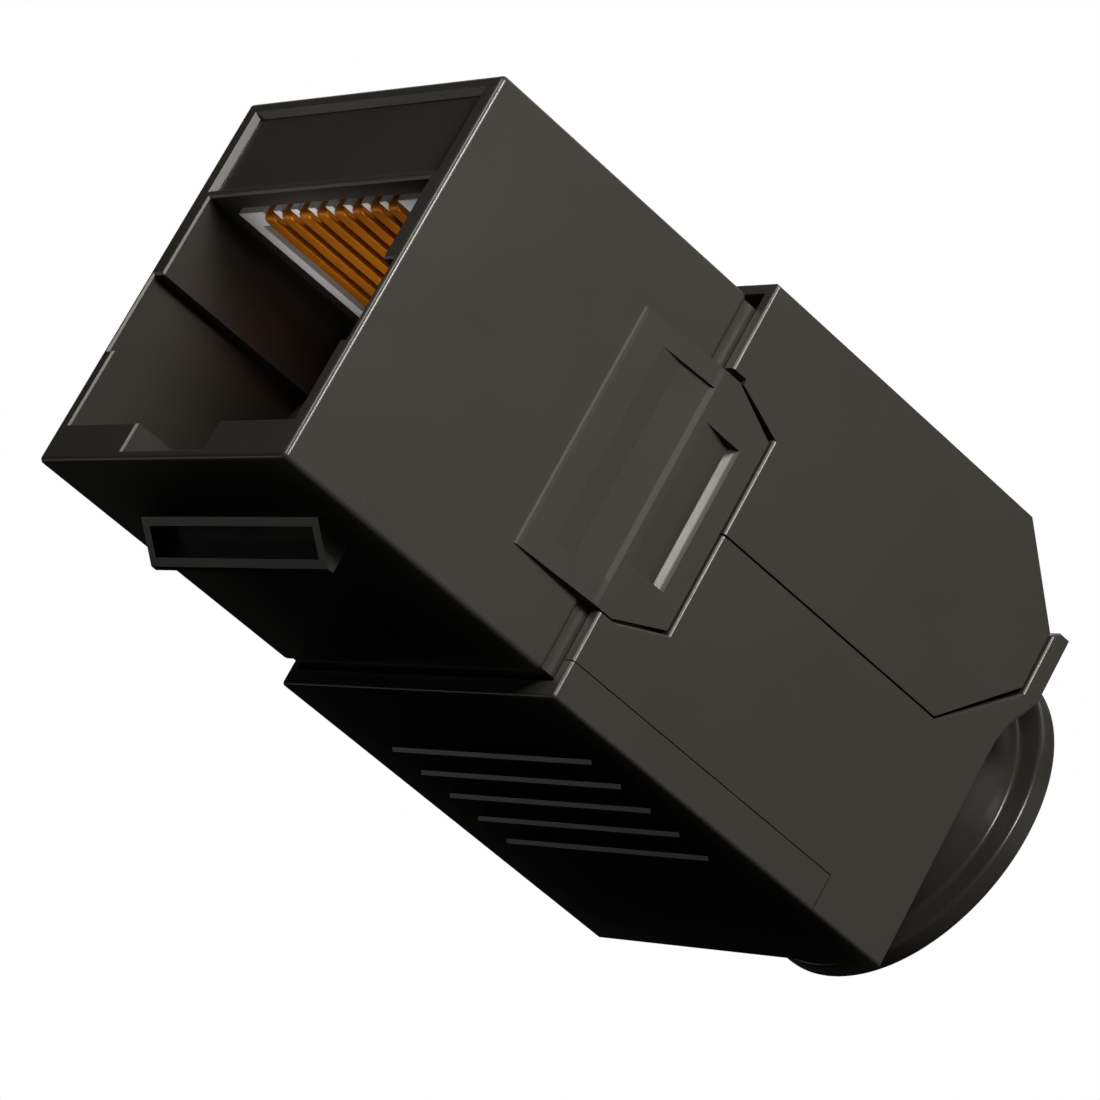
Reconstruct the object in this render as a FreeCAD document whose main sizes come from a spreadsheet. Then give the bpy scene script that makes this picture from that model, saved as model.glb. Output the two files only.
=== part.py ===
import FreeCAD, Part

import collections
import os
import re

import Sketcher

# Toolless keystone jack, in millimetres
#
# The origin is the middle of the front face, on the axis of the plug and of the cable collar.
# X runs across the jack, Y back into it and Z up, towards the contacts. The jack stands as it
# hangs in its panel: contacts above, fixed foot below. Front face at Y = 0, panel stop at the
# front of the wider rear block, cable collar at the back.

CONTACTS = 8
TERMINALS_PER_SIDE = 4
GRIP_RIBS = 5

SIZES = (
    # Front housing, from the face to the rear block
    ("face_width", 14.5, "front housing across"),
    ("face_height", 14.5, "front housing top to bottom"),
    ("front_length", 11.75, "front face to the housing's rounded rear edge"),
    ("edge_round", 0.18, "rounding of the housing's long and front edges"),
    ("rear_edge_round", 0.28, "rounding of the housing's rear edge"),
    ("neck_inset", 0.15, "step from the housing in to its neck"),
    ("neck_length", 2.6, "neck that goes into the rear block"),
    ("neck_wall", 0.9, "wall of the neck and of the space behind the port"),
    ("neck_roof", 1.8, "neck's roof, under the latch"),
    # Label window above the port
    ("window_side", 0.85, "housing's side in to the label window"),
    ("window_margin", 0.62, "housing's top to the label window"),
    ("window_depth", 0.24, "how deep the label window is let in"),
    ("window_slope", 0.2, "sloped rim of the label window"),
    ("divider", 0.43, "bar between the label window and the port"),
    # Port for the plug
    ("port_roof", 3.3, "axis up to the port's roof"),
    ("port_floor", 5.8, "axis down to the shoulders that the plug lies on"),
    ("port_wall", 0.9, "side wall beside the upper part of the port"),
    ("port_thin_wall", 0.3, "side wall beside the relieved middle of the port"),
    ("port_low_wall", 0.63, "side wall beside the lower part of the port"),
    ("relief_top", 0.2, "axis up to the top of the side relief"),
    ("relief_bottom", 2.85, "axis down to the bottom of the side relief"),
    ("port_rim", 0.07, "bevel round the mouth of the port"),
    ("guide_start", 7.0, "front face to the ribs that centre the plug's nose"),
    ("guide_rib", 0.23, "ribs on the neck's inside that centre the plug's nose"),
    ("notch_width", 4.8, "slot for the plug's locking tab"),
    ("notch_drop", 1.08, "shoulders down to the floor of the tab's slot"),
    ("tab_lip", 1.6, "lips that the plug's tab locks behind"),
    ("tab_space_width", 6.6, "space for the tab behind its lips"),
    ("tab_space_end", 9.0, "front face to the end of the tab's space"),
    ("back_gap", 0.85, "housing's rear edge forward to the wall behind the port"),
    # Ramps and tongues at the sides
    ("ramp_start", 8.52, "front face to the start of the side ramp"),
    ("ramp_half", 4.535, "half height of the side ramp"),
    ("ramp_lip", 0.06, "small step at the foot of the ramp"),
    ("ramp_crease", 0.16, "end of the ramp ahead of the rear block"),
    ("ramp_pocket_start", 1.18, "start of the ramp to its shallow pocket"),
    ("ramp_pocket_lead", 0.9, "length over which the ramp's pocket deepens"),
    ("ramp_pocket_top", 3.81, "axis up to the top of the ramp's pocket"),
    ("ramp_pocket_bottom", 3.62, "axis down to the bottom of the ramp's pocket"),
    ("ramp_pocket_depth", 0.14, "depth of the ramp's pocket"),
    ("tongue_sink", 0.08, "tongue's face below the side of the rear block"),
    ("tongue_thickness", 1.2, "tongue, from its face inwards"),
    ("tongue_shoulder", 0.55, "rear block's front back to the tongue's taper"),
    ("tongue_reach", 2.6, "rear block's front back to the tongue's end"),
    ("tongue_tip_half", 3.62, "half height of the tongue's end"),
    ("finger_slot_start", 0.14, "rear block's front back to the finger slot"),
    ("finger_slot_deepest", 1.52, "rear block's front back to the deepest line of the slot"),
    ("finger_slot_end", 1.78, "rear block's front back to the slot's steep wall"),
    ("finger_slot_depth", 0.34, "depth of the finger slot"),
    ("finger_slot_half", 2.72, "half height of the finger slot"),
    # Fixed foot below and sprung latch above
    ("foot_half", 5.15, "half width of the foot"),
    ("foot_front", 3.2, "front face to the foot's slope"),
    ("foot_rear", 4.65, "front face to the foot's upright rear"),
    ("foot_drop", 1.1, "how far the foot stands below the housing"),
    ("foot_tip", 0.22, "flat at the foot's tip"),
    ("foot_pocket_margin", 0.4, "foot's end in to its pocket"),
    ("foot_pocket_rim", 0.2, "rims above and below the foot's pocket"),
    ("foot_pocket_wall", 0.42, "foot's wall behind its pocket"),
    ("latch_half", 3.2, "half width of the latch"),
    ("latch_root", 1.6, "front face to the root of the latch"),
    ("latch_thickness", 0.8, "thickness of the latch's arm"),
    ("latch_channel", 1.25, "depth of the channel that the latch flexes into"),
    ("latch_side_gap", 0.25, "slot at each side of the latch"),
    ("latch_sink", 0.05, "latch's root below the housing's top"),
    ("latch_crest", 0.25, "flat on the latch's catch"),
    ("latch_catch", 5.25, "front face to the latch's catch"),
    ("latch_height", 1.4, "how far the catch stands above the housing"),
    ("latch_end", 11.1, "front face to the end of the latch"),
    ("latch_lift", 0.75, "how far the latch's tail stands above the housing"),
    ("latch_grip", 0.42, "height of the ridge at the latch's end"),
    ("latch_grip_length", 0.9, "length of the ridge at the latch's end"),
    ("latch_grip_crest", 0.45, "flat on the ridge at the latch's end"),
    # Contact carrier and contact wires
    ("contact_pitch", 1.016, "distance between contact wires"),
    ("contact_width", 0.52, "contact wire across"),
    ("contact_thickness", 0.2, "contact wire's thickness"),
    ("contact_bend", 0.1, "inner radius of the contact wire's bends"),
    ("contact_front", 0.86, "front face to the contact's front bend"),
    ("contact_run_gap", 0.6, "between a contact's upper and lower runs"),
    ("contact_tip_gap", 1.5, "contact's free end forward of the wall behind the port"),
    ("contact_reach", 3.4, "contact's sloped end, along the jack"),
    ("contact_drop", 3.3, "lower run down to the contact's free end"),
    ("contact_leg_gap", 0.65, "wall behind the port back to the first row of legs"),
    ("contact_row_gap", 0.8, "between the two rows of legs"),
    ("carrier_half", 5.3, "half width of the carrier's tray"),
    ("carrier_front", 0.75, "front face to the carrier's comb"),
    ("carrier_hang", 0.2, "carrier's tray below the port's roof"),
    ("carrier_height", 1.5, "height of the carrier's tray"),
    ("carrier_rail", 0.55, "side rails of the carrier's tray"),
    ("comb_length", 0.7, "comb at the front of the carrier"),
    ("carrier_block", 1.4, "solid rear end of the carrier's tray"),
    ("carrier_gap", 0.06, "clearance round the carrier"),
    ("carrier_wall", 1.2, "carrier's wall behind the port"),
    ("slot_gap", 0.05, "clearance beside a contact in its slot"),
    # Rear block
    ("shadow_gap", 0.45, "housing's rear edge to the rear block's front"),
    ("side_step", 0.48, "rear block wider than the housing, each side"),
    ("lid_rise", 0.8, "lid's top above the housing's top"),
    ("cover_drop", 0.61, "bottom cover below the housing's bottom"),
    ("socket_gap", 0.16, "clearance round the neck in the rear block"),
    ("socket_depth", 2.75, "depth of the rear block's thin front part"),
    ("socket_roof", 0.37, "lid's roof over the neck"),
    ("block_wall", 1.5, "side walls of the rear block"),
    ("rear_wall", 0.98, "rear wall of the rear block"),
    ("lid_roof", 1.0, "lid's roof over the terminals"),
    ("body_floor", 0.96, "rear body's floor behind the bottom cover"),
    ("seam_height", 0.1, "axis up to the seam between rear body and lid"),
    ("seam_gap", 0.08, "gap at the seam"),
    ("ramp_seam_gap", 0.2, "gap at the sloped rear end of the seam"),
    ("seam_bend", 2.69, "rear face forward to the bend in the seam"),
    ("seam_rise", 2.86, "rise of the sloped rear end of the seam"),
    ("body_cut_gap", 0.1, "gap between tongue and rear body"),
    ("lid_cut_gap", 0.2, "gap between tongue and lid"),
    ("lid_step_back", 0.1, "small step in the lid's front edge, along"),
    ("lid_step_in", 0.2, "small step in the lid's front edge, up"),
    ("seam_bend_gap", 0.05, "gap at the bend in the seam, along"),
    ("lip_step", 0.09, "rear face back to the lip's front"),
    ("lip_thickness", 0.76, "lip behind the lid"),
    ("lip_top", 5.54, "axis up to the top of the lip"),
    ("lip_foot", 1.35, "axis up to where the rear face flares into the lip"),
    ("lip_flare", 3.04, "axis up to the end of the flare"),
    ("lip_flare_round", 3.0, "radius of the flare"),
    ("lip_nose", 0.28, "bevel at the lip's top"),
    ("lip_middle_half", 3.6, "half of the gap in the lip above the collar"),
    ("lid_back_gap", 0.1, "gap between the lid and the lip"),
    ("lid_bevel_height", 2.76, "lid's rear bevel, up"),
    ("lid_bevel_length", 2.87, "lid's rear bevel, along"),
    ("lid_bevel_wall", 1.15, "lid's wall at the bevel, measured upright"),
    ("block_round", 0.13, "rounding of the rear block's outer edges"),
    ("leg_width", 1.8, "lid's guide legs, along the jack"),
    ("leg_thickness", 0.5, "lid's guide legs, across"),
    ("leg_length", 5.3, "lid's guide legs below the seam"),
    ("leg_gap", 0.1, "clearance round a guide leg"),
    ("leg_first", 1.2, "rear block's thin part back to the first leg"),
    ("leg_spacing", 7.2, "between the two legs at a side"),
    # Bottom cover
    ("cover_height", 1.41, "bottom cover's side, up to its seam"),
    ("cover_plate", 0.8, "thickness of the bottom cover's plate"),
    ("cover_rear", 3.48, "rear face forward to the bottom cover's end"),
    ("cover_gap", 0.04, "gap round the bottom cover"),
    ("cover_rim", 0.6, "locating rims inside the bottom cover"),
    ("cover_rim_gap", 0.1, "clearance of the locating rims"),
    ("cover_rim_height", 1.05, "height of the locating rims"),
    ("cover_rim_end", 0.3, "bottom cover's end forward to the locating rims"),
    ("rib_first", 3.9, "rear block's front back to the first grip rib"),
    ("rib_pitch", 1.43, "between grip ribs"),
    ("rib_half", 5.6, "half length of a grip rib"),
    ("rib_base", 0.34, "grip rib's foot"),
    ("rib_crest", 0.12, "grip rib's crest"),
    ("rib_height", 0.12, "grip rib's height"),
    # Circuit board, terminals and wire presser
    ("board_top", -3.9, "height of the circuit board's upper face"),
    ("board_thickness", 1.0, "circuit board"),
    ("board_gap", 0.2, "clearance beside the circuit board"),
    ("board_front_gap", 0.25, "wall behind the port back to the board"),
    ("board_ledge", 0.68, "ledges that carry the circuit board"),
    ("ledge_height", 1.0, "height of those ledges"),
    ("pin_hole", 0.3, "radius of the holes for the contacts' legs"),
    ("tail_hole", 0.36, "radius of the holes for the terminals' tails"),
    ("pin_reach", 0.6, "pins and tails below the circuit board"),
    ("terminal_x", 4.45, "axis out to the terminals"),
    ("terminal_first", 1.35, "rear block's thin part back to the first terminal"),
    ("terminal_pitch", 2.75, "between terminals"),
    ("terminal_width", 2.0, "terminal blade, along the jack"),
    ("terminal_thickness", 0.4, "terminal blade's thickness"),
    ("terminal_slit", 0.32, "slit of the fork"),
    ("terminal_tail", 0.5, "solder tail's width"),
    ("terminal_top", 2.2, "height of the fork's tips"),
    ("terminal_mouth", 0.5, "height of the fork's tapered mouth"),
    ("terminal_lead", 0.3, "taper at each side of the fork's mouth"),
    ("terminal_corner", 0.25, "taper at the outside of the fork's tips"),
    ("slit_bottom", -1.2, "height of the slit's lower end"),
    ("block_gap", 0.28, "clearance beside the terminal block"),
    ("block_top", 3.2, "height of the terminal block's top"),
    ("block_end", 1.55, "last terminal back to the block's end"),
    ("block_front_gap", 0.2, "block's front ahead of the rear block's thick walls"),
    ("channel_half", 2.4, "half width of the channel for the wire pairs"),
    ("channel_floor", -2.4, "height of the channel's floor"),
    ("wire_slot", 1.0, "slot for one wire"),
    ("wire_slot_mouth", 1.7, "mouth of a wire slot"),
    ("wire_slot_lead", 0.7, "height of the slot's tapered mouth"),
    ("wire_seat", -0.9, "height of the wire slot's bottom"),
    ("blade_gap", 0.06, "clearance round a terminal in the block"),
    ("presser_gap", 0.12, "clearance of the presser's blades"),
    ("presser_plate", 0.8, "presser's plate under the lid's roof"),
    ("presser_bottom", 3.45, "height of the presser's bars"),
    ("presser_reach", 0.2, "height of the presser's blade tips"),
    ("presser_end", 1.0, "terminal block's end forward to the presser's end"),
    # Cable collar
    ("collar_space", 1.2, "terminal block's end to the rear wall"),
    ("collar_bore", 4.0, "radius of the cable entry"),
    ("collar_neck", 4.6, "radius of the collar's neck"),
    ("collar_flange", 5.0, "radius of the collar's inner flange"),
    ("collar_flange_width", 0.8, "thickness of the collar's inner flange"),
    ("collar_gap", 0.1, "clearance of the collar in its seat"),
    ("collar_drum", 5.44, "radius of the collar's drum"),
    ("collar_drum_length", 3.12, "length of the collar's drum"),
    ("collar_rim", 6.4, "radius of the collar's outer rim"),
    ("collar_rim_width", 0.86, "thickness of the collar's outer rim"),
    ("collar_rim_round", 0.3, "rounding of the collar's outer rim"),
    ("collar_root_round", 0.35, "rounding between drum and rim"),
    ("collar_mouth", 0.5, "bevel at the cable entry"),
    ("lip_collar_gap", 0.16, "clearance between the lip and the drum"),
)

doc = FreeCAD.newDocument("keystone_jack")
sheet = doc.addObject("Spreadsheet::Sheet", "Sizes")
for row, (alias, number, meaning) in enumerate(SIZES, 1):
    sheet.set(f"A{row}", meaning)
    sheet.set(f"B{row}", str(number))
    sheet.setAlias(f"B{row}", alias)
doc.recompute()

ALIASES = {alias for alias, number, meaning in SIZES}
WORD = re.compile(r"[a-z]\w*")

# Places that several pieces share, worked out from the sizes
HALF_FACE = "(face_width / 2)"
HALF_HEIGHT = "(face_height / 2)"
NECK_HALF = f"({HALF_FACE} - neck_inset)"
NECK_TOP = f"({HALF_HEIGHT} - neck_inset)"
NECK_END = "(front_length + neck_length)"
PORT_BACK = "(front_length - back_gap)"
WALL_BACK = f"({PORT_BACK} + carrier_wall)"
NOTCH_FLOOR = "(-port_floor - notch_drop)"
GUIDE_HALF = f"({NECK_HALF} - neck_wall - guide_rib)"
CONTACT_TIP = f"({PORT_BACK} - contact_tip_gap)"
CONTACT_KNEE = f"({CONTACT_TIP} - contact_reach)"
TRAY_BOTTOM = "(port_roof - carrier_hang)"
TRAY_TOP = f"({TRAY_BOTTOM} + carrier_height)"
UPPER_RUN = f"({TRAY_BOTTOM} + contact_thickness + contact_run_gap)"
BLOCK_HALF = f"({HALF_FACE} + side_step)"
BLOCK_FRONT = "(front_length + shadow_gap)"
BLOCK_BOTTOM = f"(-{HALF_HEIGHT} - cover_drop)"
LID_TOP = f"({HALF_HEIGHT} + lid_rise)"
SOCKET_HALF = f"({NECK_HALF} + socket_gap)"
INNER_HALF = f"({BLOCK_HALF} - block_wall)"
INNER_FRONT = f"({BLOCK_FRONT} + socket_depth)"
TERMINAL_START = f"({INNER_FRONT} + terminal_first)"
TERMINAL_STOP = f"({TERMINAL_START} + {TERMINALS_PER_SIDE - 1} * terminal_pitch + block_end)"
INNER_REAR = f"({TERMINAL_STOP} + collar_space)"
BLOCK_REAR = f"({INNER_REAR} + rear_wall)"
COVER_TOP = f"({BLOCK_BOTTOM} + cover_height)"
COVER_END = f"({BLOCK_REAR} - cover_rear)"
TONGUE_FACE = f"({BLOCK_HALF} - tongue_sink)"
TONGUE_SHOULDER = f"({BLOCK_FRONT} + tongue_shoulder)"
TONGUE_END = f"({BLOCK_FRONT} + tongue_reach)"
RAMP_END = f"({BLOCK_FRONT} - ramp_crease)"
SEAM_BEND = f"({BLOCK_REAR} - seam_bend)"
LIP_FRONT = f"({BLOCK_REAR} + lip_step)"
LIP_REAR = f"({LIP_FRONT} + lip_thickness)"
LEG_OUTER = f"({INNER_HALF} + leg_gap + leg_thickness)"
BOARD_HALF = f"({INNER_HALF} - board_gap)"
BOARD_FRONT = f"({WALL_BACK} + board_front_gap)"
BOARD_BOTTOM = "(board_top - board_thickness)"
PIN_BOTTOM = f"({BOARD_BOTTOM} - pin_reach)"
PLATE_TOP = f"({LID_TOP} - lid_roof)"
DRUM_FRONT = f"({BLOCK_REAR} + collar_gap)"
DRUM_REAR = f"({DRUM_FRONT} + collar_drum_length)"
RIM_REAR = f"({DRUM_REAR} + collar_rim_width)"

Circle = collections.namedtuple("Circle", "across up radius")

# How far a cut runs past what it cuts, and how far joined shapes run into each other
PAST = "1"
BITE = "0.2"

PLANES = {"x": "YZ_Plane", "y": "XZ_Plane", "z": "XY_Plane"}
SAME_PLACE = 1e-3
LEAST_CUT = 1e-4

nodes = []


def tie(text):
    """The expression with each size named as a cell of the sheet."""
    return WORD.sub(lambda found: "Sizes." * (found.group() in ALIASES) + found.group(), text)


def value(text):
    """What the expression comes to now."""
    return float(sheet.evalExpression(tie(text)))


def piece(label):
    """A new, empty sub-part."""
    body = doc.addObject("PartDesign::Body", label)
    body.Label = label
    nodes.append(body)
    return body


def box(across_low, across_high, up_low, up_high):
    """The four corners of a rectangle in a sketch."""
    return [
        (across_low, up_low),
        (across_high, up_low),
        (across_high, up_high),
        (across_low, up_high),
    ]


def with_mirror(loops):
    """The loops and their mirror images across the sketch's upright axis."""
    return loops + [[(f"-({across})", up) for across, up in loop] for loop in loops]


def with_flip(loops):
    """The loops and their mirror images across the sketch's level axis."""
    return loops + [[(across, f"-({up})") for across, up in loop] for loop in loops]


def hold(drawing, kind, geometry, point, text):
    """Ties one coordinate of a sketch point, or a radius, to its size."""
    now = value(text)
    if kind == "Radius":
        index = drawing.addConstraint(Sketcher.Constraint(kind, geometry, now))
    elif abs(now) < SAME_PLACE:
        axis = -2 if kind == "DistanceX" else -1
        drawing.addConstraint(Sketcher.Constraint("PointOnObject", geometry, point, axis))
        return
    else:
        index = drawing.addConstraint(Sketcher.Constraint(kind, -1, 1, geometry, point, now))
    drawing.setExpression(f"Constraints[{index}]", tie(text))


def draw_circle(drawing, ring):
    """A circle held by its centre and radius."""
    centre = FreeCAD.Vector(value(ring.across), value(ring.up), 0)
    index = drawing.addGeometry(Part.Circle(centre, FreeCAD.Vector(0, 0, 1), value(ring.radius)))
    hold(drawing, "DistanceX", index, 3, ring.across)
    hold(drawing, "DistanceY", index, 3, ring.up)
    hold(drawing, "Radius", index, 0, ring.radius)


def draw_loop(drawing, corners):
    """A closed run of straight lines with both coordinates of each corner held."""
    spots = [FreeCAD.Vector(value(across), value(up), 0) for across, up in corners]
    first = drawing.GeometryCount
    count = len(corners)
    for index in range(count):
        drawing.addGeometry(Part.LineSegment(spots[index], spots[(index + 1) % count]))
    for index in range(count):
        after = first + (index + 1) % count
        drawing.addConstraint(Sketcher.Constraint("Coincident", first + index, 2, after, 1))
    for index, (across, up) in enumerate(corners):
        hold(drawing, "DistanceX", first + index, 1, across)
        hold(drawing, "DistanceY", first + index, 1, up)


def sketch(body, name, axis, loops, place):
    """A sketch across an axis, at a place along it."""
    drawing = body.newObject("Sketcher::SketchObject", name + "_outline")
    plane = next(item for item in body.Origin.OriginFeatures if item.Role == PLANES[axis])
    drawing.AttachmentSupport = [(plane, "")]
    drawing.MapMode = "FlatFace"
    facing = "-" if axis == "y" else ""
    drawing.setExpression("AttachmentOffset.Base.z", tie(f"{facing}({place})"))
    for loop in loops:
        if isinstance(loop, Circle):
            draw_circle(drawing, loop)
        else:
            draw_loop(drawing, loop)
    doc.recompute()
    return drawing


def settle(body, feature):
    """Makes the feature the body's last one and stops if it fails."""
    body.Tip = feature
    doc.recompute()
    if "Invalid" in feature.State or not feature.Shape.isValid():
        raise RuntimeError(f"{body.Label}: {feature.Label} fails: {feature.getStatusString()}")


def add(body, name, axis, loops, start, end):
    """Material from start to end along the axis."""
    feature = body.newObject("PartDesign::Pad", name)
    feature.Profile = sketch(body, name, axis, loops, start)
    feature.Reversed = axis == "y"
    feature.setExpression("Length", tie(f"{end} - ({start})"))
    settle(body, feature)


def cut(body, name, axis, loops, start, end):
    """A hollow from start to end along the axis."""
    before = body.Shape.Volume
    feature = body.newObject("PartDesign::Pocket", name)
    feature.Profile = sketch(body, name, axis, loops, start)
    feature.Reversed = axis != "y"
    feature.setExpression("Length", tie(f"{end} - ({start})"))
    settle(body, feature)
    if before - body.Shape.Volume < LEAST_CUT:
        raise RuntimeError(f"{body.Label}: {name} cuts nothing")


def soften(body, name, kind, size, chosen):
    """Rounds or bevels the edges of the body that are chosen."""
    base = body.Tip
    edges = enumerate(base.Shape.Edges, 1)
    names = [f"Edge{number}" for number, edge in edges if chosen(edge)]
    feature = body.newObject(f"PartDesign::{kind}", name)
    feature.Base = (base, names)
    feature.setExpression("Radius" if kind == "Fillet" else "Size", tie(size))
    settle(body, feature)


def lies_at(edge, axis, place):
    """Whether the whole edge lies at one place along an axis, given as a number."""
    low = getattr(edge.BoundBox, axis + "Min")
    high = getattr(edge.BoundBox, axis + "Max")
    return abs(low - place) < SAME_PLACE and abs(high - place) < SAME_PLACE


def on_side(edge, half):
    """Whether the edge lies in one of the two side planes of a piece."""
    return lies_at(edge, "X", half) or lies_at(edge, "X", -half)


def contact_x(index):
    """Place of a contact wire across the jack, counted from the left."""
    return f"({index - (CONTACTS - 1) / 2} * contact_pitch)"


def terminal_y(index):
    """Place of a terminal along the jack."""
    return f"({TERMINAL_START} + {index} * terminal_pitch)"


def leg_row(index):
    """Place of a contact's leg along the jack: odd and even legs stand in two rows."""
    return f"({WALL_BACK} + contact_leg_gap + {index % 2} * contact_row_gap)"


def make_front_housing():
    """One moulding: shell, neck, label window, port, ramps and tongues, foot and latch."""
    body = piece("front_housing")
    shell = box(f"-{HALF_FACE}", HALF_FACE, f"-{HALF_HEIGHT}", HALF_HEIGHT)
    add(body, "shell", "y", [shell], "0", "front_length")
    rear = value("front_length")
    soften(body, "rear_rounding", "Fillet", "rear_edge_round", lambda e: lies_at(e, "Y", rear))
    half = value(HALF_FACE)
    top = value(HALF_HEIGHT)

    def long_or_front(edge):
        corner = on_side(edge, half) and abs(abs(edge.CenterOfMass.z) - top) < SAME_PLACE
        return corner or lies_at(edge, "Y", 0)

    soften(body, "edge_rounding", "Fillet", "edge_round", long_or_front)
    neck = box(f"-{NECK_HALF}", NECK_HALF, f"-{NECK_TOP}", NECK_TOP)
    add(body, "neck", "y", [neck], PORT_BACK, NECK_END)
    side = [
        ("ramp_start", "-ramp_half"),
        (TONGUE_SHOULDER, "-ramp_half"),
        (TONGUE_END, "-tongue_tip_half"),
        (TONGUE_END, "tongue_tip_half"),
        (TONGUE_SHOULDER, "ramp_half"),
        ("ramp_start", "ramp_half"),
    ]
    inside = f"({TONGUE_FACE} - tongue_thickness)"
    add(body, "right_tongue", "x", [side], inside, TONGUE_FACE)
    add(body, "left_tongue", "x", [side], f"-{TONGUE_FACE}", f"-{inside}")
    outside = f"({TONGUE_FACE} + {PAST})"
    ramp_x = f"({HALF_FACE} + ramp_lip)"
    ramp_y = "(ramp_start + ramp_lip)"
    above_ramp = [
        (HALF_FACE, "ramp_start"),
        (ramp_x, ramp_y),
        (TONGUE_FACE, RAMP_END),
        (outside, RAMP_END),
        (outside, "ramp_start"),
    ]
    reach = f"(ramp_half + {PAST})"
    cut(body, "ramps", "z", with_mirror([above_ramp]), f"-{reach}", reach)
    climb = f"(({TONGUE_FACE} - {ramp_x}) / ({RAMP_END} - {ramp_y}))"
    pocket_start = "(ramp_start + ramp_pocket_start)"
    pocket_full = f"({pocket_start} + ramp_pocket_lead)"
    ramp_pocket = [
        (f"({ramp_x} + ({pocket_start} - {ramp_y}) * {climb})", pocket_start),
        (f"({ramp_x} + ({pocket_full} - {ramp_y}) * {climb} - ramp_pocket_depth)", pocket_full),
        (f"({TONGUE_FACE} - ramp_pocket_depth)", f"({RAMP_END} - ramp_pocket_depth)"),
        (TONGUE_FACE, RAMP_END),
        (outside, RAMP_END),
        (outside, pocket_start),
    ]
    pockets = with_mirror([ramp_pocket])
    cut(body, "ramp_pockets", "z", pockets, "-ramp_pocket_bottom", "ramp_pocket_top")
    finger_slot = [
        (TONGUE_FACE, f"({BLOCK_FRONT} + finger_slot_start)"),
        (f"({TONGUE_FACE} - finger_slot_depth)", f"({BLOCK_FRONT} + finger_slot_deepest)"),
        (TONGUE_FACE, f"({BLOCK_FRONT} + finger_slot_end)"),
        (outside, f"({BLOCK_FRONT} + finger_slot_end)"),
        (outside, f"({BLOCK_FRONT} + finger_slot_start)"),
    ]
    slots = with_mirror([finger_slot])
    cut(body, "finger_slots", "z", slots, "-finger_slot_half", "finger_slot_half")
    make_port(body)
    make_foot(body)
    make_latch(body)
    return body


def make_port(body):
    """Label window, stepped port, space for the plug's tab and pocket for the carrier."""
    window_low = "(port_roof + divider)"
    window_high = f"({HALF_HEIGHT} - window_margin)"
    reach = f"({HALF_FACE} - window_side)"
    window = box(f"-{reach}", reach, window_low, window_high)
    cut(body, "label_window", "y", [window], "0", "window_depth")
    low = value(window_low)

    def on_window_rim(edge):
        return lies_at(edge, "Y", 0) and edge.BoundBox.ZMin > low - SAME_PLACE and (
            edge.BoundBox.ZMax < value(window_high) + SAME_PLACE
        )

    soften(body, "window_rim", "Chamfer", "window_slope", on_window_rim)
    upper = f"({HALF_FACE} - port_wall)"
    middle = f"({HALF_FACE} - port_thin_wall)"
    lower = f"({HALF_FACE} - port_low_wall)"
    right = [
        ("notch_width / 2", NOTCH_FLOOR),
        ("notch_width / 2", "-port_floor"),
        (lower, "-port_floor"),
        (lower, "-relief_bottom"),
        (middle, "-relief_bottom"),
        (middle, "relief_top"),
        (upper, "relief_top"),
        (upper, "port_roof"),
    ]
    left = [(f"-({across})", up) for across, up in reversed(right)]
    cut(body, "port", "y", [right + left], "0", "guide_start")
    roof = value("port_roof")

    def on_port_rim(edge):
        inside = abs(edge.CenterOfMass.x) < value(middle) + SAME_PLACE
        below = edge.BoundBox.ZMax < roof + SAME_PLACE
        return lies_at(edge, "Y", 0) and inside and below and (
            edge.BoundBox.ZMin > value(NOTCH_FLOOR) - SAME_PLACE
        )

    soften(body, "port_mouth", "Chamfer", "port_rim", on_port_rim)
    nose = box(f"-{GUIDE_HALF}", GUIDE_HALF, "-port_floor", "port_roof")
    cut(body, "plug_guide", "y", [nose], "guide_start", NECK_END)
    tab = box("-tab_space_width / 2", "tab_space_width / 2", NOTCH_FLOOR, "-port_floor")
    cut(body, "tab_space", "y", [tab], "tab_lip", "tab_space_end")
    tray_half = "(carrier_half + carrier_gap)"
    tray_low = f"(port_roof - {PAST})"
    tray = box(f"-{tray_half}", tray_half, tray_low, f"({TRAY_TOP} + carrier_gap)")
    cut(body, "carrier_pocket", "y", [tray], "(carrier_front - carrier_gap)", NECK_END)
    inside = f"({NECK_HALF} - neck_wall)"
    hollow = box(f"-{inside}", inside, f"-({NECK_TOP} - neck_wall)", f"({NECK_TOP} - neck_roof)")
    cut(body, "rear_hollow", "y", [hollow], WALL_BACK, NECK_END)


def make_foot(body):
    """Fixed foot under the housing: sloped in front, upright behind, hollowed in its slope."""
    bottom = f"(-{HALF_HEIGHT})"
    tip = f"({bottom} - foot_drop)"
    side = [
        ("foot_front", bottom),
        ("foot_rear - foot_tip", tip),
        ("foot_rear", tip),
        ("foot_rear", f"({bottom} + {BITE})"),
        ("foot_front", f"({bottom} + {BITE})"),
    ]
    add(body, "foot", "x", [side], "-foot_half", "foot_half")
    reach = "(foot_half - foot_pocket_margin)"
    hollow = box(f"-{reach}", reach, f"({tip} + foot_pocket_rim)", f"({bottom} - foot_pocket_rim)")
    cut(body, "foot_pocket", "y", [hollow], "foot_front", "(foot_rear - foot_pocket_wall)")


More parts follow.
